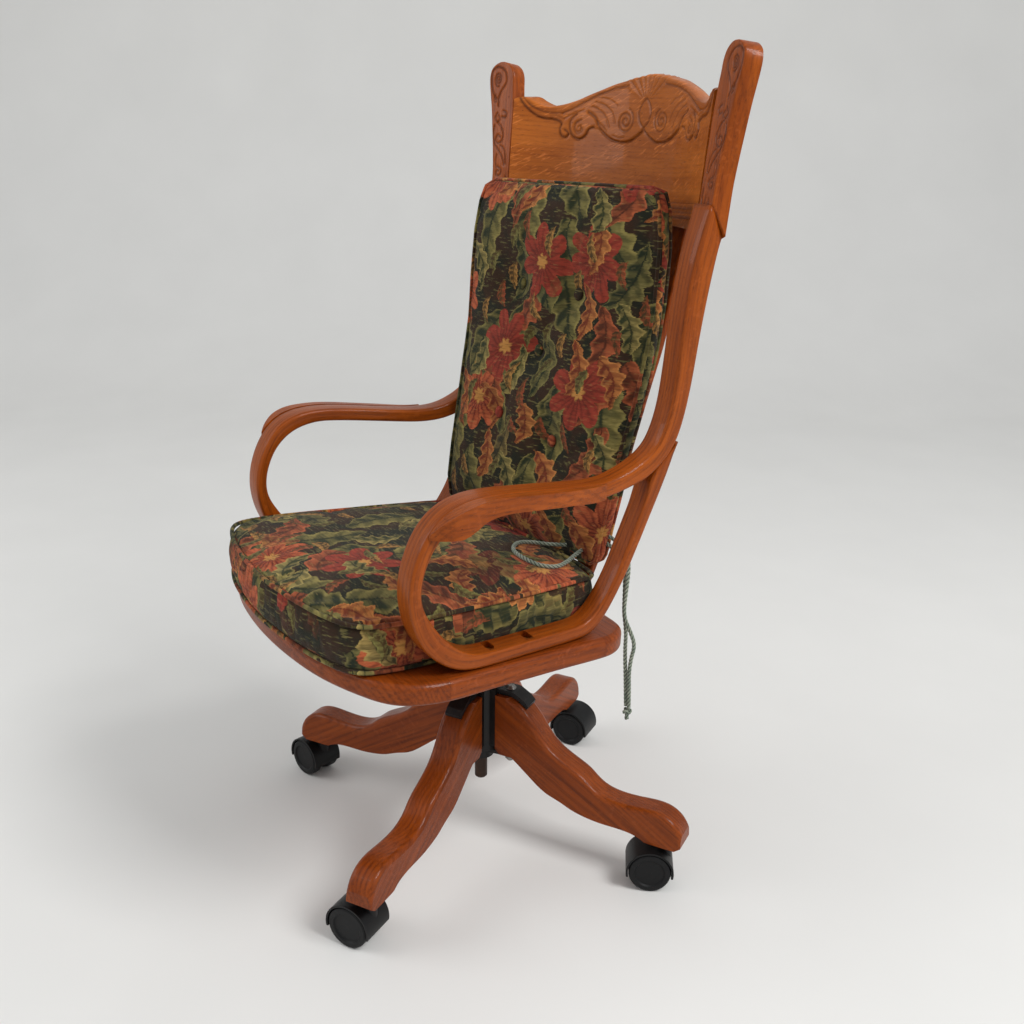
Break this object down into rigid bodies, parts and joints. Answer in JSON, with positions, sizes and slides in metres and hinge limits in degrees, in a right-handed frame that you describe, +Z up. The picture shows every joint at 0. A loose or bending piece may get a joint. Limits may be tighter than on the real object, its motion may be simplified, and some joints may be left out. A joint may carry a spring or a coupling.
{
  "type": "swivel desk chair",
  "caption": "Oak swivel desk chair with bentwood arms, carved high back, seat and back cushions, height screw and hooded twin-wheel casters.",
  "frame": {"origin": "on the floor under the swivel axis", "axes": "+Z up along the swivel axis, the chair faces -Y, +X is the sitter's left"},
  "size_m": [0.6165, 0.6452, 1.1268],
  "materials": {
    "oak": "gloss",
    "oak_red": "gloss",
    "oak_crest": "satin",
    "black_iron": "satin",
    "steel_screw": "worn",
    "steel": "satin",
    "brass": "satin",
    "caster_black": "satin",
    "tapestry": "matte",
    "cord": "matte"
  },
  "bodies": {
    "base": {"leg_front_left": "oak_red", "leg_rear_left": "oak_red", "leg_rear_right": "oak_red", "leg_front_right": "oak_red", "hub_casting": "black_iron", "lower_spider": "black_iron", "leg_bolts": "black_iron", "leg_nuts": "black_iron", "caster_sockets": "brass"},
    "screw": {"spindle_screw": "steel_screw"},
    "nut": {"height_nut": "black_iron"},
    "caster_front_left": {"front_left_caster_hood": "caster_black", "front_left_caster_stem": "steel", "front_left_caster_axle": "steel"},
    "front_left_inner_wheel_body": {"front_left_inner_wheel": "caster_black"},
    "front_left_outer_wheel_body": {"front_left_outer_wheel": "caster_black"},
    "caster_rear_left": {"rear_left_caster_hood": "caster_black", "rear_left_caster_stem": "steel", "rear_left_caster_axle": "steel"},
    "rear_left_inner_wheel_body": {"rear_left_inner_wheel": "caster_black"},
    "rear_left_outer_wheel_body": {"rear_left_outer_wheel": "caster_black"},
    "caster_rear_right": {"rear_right_caster_hood": "caster_black", "rear_right_caster_stem": "steel", "rear_right_caster_axle": "steel"},
    "rear_right_inner_wheel_body": {"rear_right_inner_wheel": "caster_black"},
    "rear_right_outer_wheel_body": {"rear_right_outer_wheel": "caster_black"},
    "caster_front_right": {"front_right_caster_hood": "caster_black", "front_right_caster_stem": "steel", "front_right_caster_axle": "steel"},
    "front_right_inner_wheel_body": {"front_right_inner_wheel": "caster_black"},
    "front_right_outer_wheel_body": {"front_right_outer_wheel": "caster_black"},
    "seat": {"arm_screws": "steel", "back_cushion": "tapestry", "back_cushion_tufts": "tapestry", "back_slat_1": "oak", "back_slat_2": "oak", "back_slat_3": "oak", "back_slat_4": "oak", "back_slat_5": "oak", "crest_rail": "oak_crest", "left_arm_cheek": "oak", "left_bentwood_arm": "oak", "left_stile": "oak", "right_arm_cheek": "oak", "right_bentwood_arm": "oak", "right_stile": "oak", "seat_cushion": "tapestry", "seat_front_rail": "oak", "seat_iron": "black_iron", "seat_iron_screws": "black_iron", "seat_left_rail": "oak", "seat_panel": "oak", "seat_rear_rail": "oak", "seat_right_rail": "oak", "tie_bow": "cord", "tie_left_knot": "cord", "tie_left_looped": "cord", "tie_left_straight": "cord"}
  },
  "joints": [
    {"name": "height_slide", "type": "slide", "parent": "base", "child": "screw", "axis": [0, 0, 1], "range_m": [-0.03, 0.09]},
    {"name": "nut_spin", "type": "hinge", "parent": "base", "child": "nut", "pos_m": [0, 0, 0.262], "axis": [0, 0, 1], "range_deg": [-1800, 5400]},
    {"name": "seat_swivel", "type": "hinge", "parent": "screw", "child": "seat", "pos_m": [0, 0, 0.345], "axis": [0, 0, 1], "continuous": true},
    {"name": "front_left_caster_swivel", "type": "hinge", "parent": "base", "child": "caster_front_left", "pos_m": [0.151, -0.26154, 0.07], "axis": [0, 0, 1], "continuous": true},
    {"name": "front_left_inner_wheel_spin", "type": "hinge", "parent": "caster_front_left", "child": "front_left_inner_wheel_body", "pos_m": [0.13176, -0.2722, 0.03], "axis": [0.4848, -0.8746, 0], "continuous": true},
    {"name": "front_left_outer_wheel_spin", "type": "hinge", "parent": "caster_front_left", "child": "front_left_outer_wheel_body", "pos_m": [0.13176, -0.2722, 0.03], "axis": [0.4848, -0.8746, 0], "continuous": true},
    {"name": "rear_left_caster_swivel", "type": "hinge", "parent": "base", "child": "caster_rear_left", "pos_m": [0.26154, 0.151, 0.07], "axis": [0, 0, 1], "continuous": true},
    {"name": "rear_left_inner_wheel_spin", "type": "hinge", "parent": "caster_rear_left", "child": "rear_left_inner_wheel_body", "pos_m": [0.24799, 0.13366, 0.03], "axis": [0.788, -0.6157, 0], "continuous": true},
    {"name": "rear_left_outer_wheel_spin", "type": "hinge", "parent": "caster_rear_left", "child": "rear_left_outer_wheel_body", "pos_m": [0.24799, 0.13366, 0.03], "axis": [0.788, -0.6157, 0], "continuous": true},
    {"name": "rear_right_caster_swivel", "type": "hinge", "parent": "base", "child": "caster_rear_right", "pos_m": [-0.151, 0.26154, 0.07], "axis": [0, 0, 1], "continuous": true},
    {"name": "rear_right_inner_wheel_spin", "type": "hinge", "parent": "caster_rear_right", "child": "rear_right_inner_wheel_body", "pos_m": [-0.13214, 0.27287, 0.03], "axis": [-0.515, 0.8572, 0], "continuous": true},
    {"name": "rear_right_outer_wheel_spin", "type": "hinge", "parent": "caster_rear_right", "child": "rear_right_outer_wheel_body", "pos_m": [-0.13214, 0.27287, 0.03], "axis": [-0.515, 0.8572, 0], "continuous": true},
    {"name": "front_right_caster_swivel", "type": "hinge", "parent": "base", "child": "caster_front_right", "pos_m": [-0.26154, -0.151, 0.07], "axis": [0, 0, 1], "continuous": true},
    {"name": "front_right_inner_wheel_spin", "type": "hinge", "parent": "caster_front_right", "child": "front_right_inner_wheel_body", "pos_m": [-0.28289, -0.15632, 0.03], "axis": [0.2419, -0.9703, 0], "continuous": true},
    {"name": "front_right_outer_wheel_spin", "type": "hinge", "parent": "caster_front_right", "child": "front_right_outer_wheel_body", "pos_m": [-0.28289, -0.15632, 0.03], "axis": [0.2419, -0.9703, 0], "continuous": true}
  ],
  "couplings": [
    {"joint": "nut_spin", "follows": "height_slide", "rad_per_m": 1047.2}
  ]
}
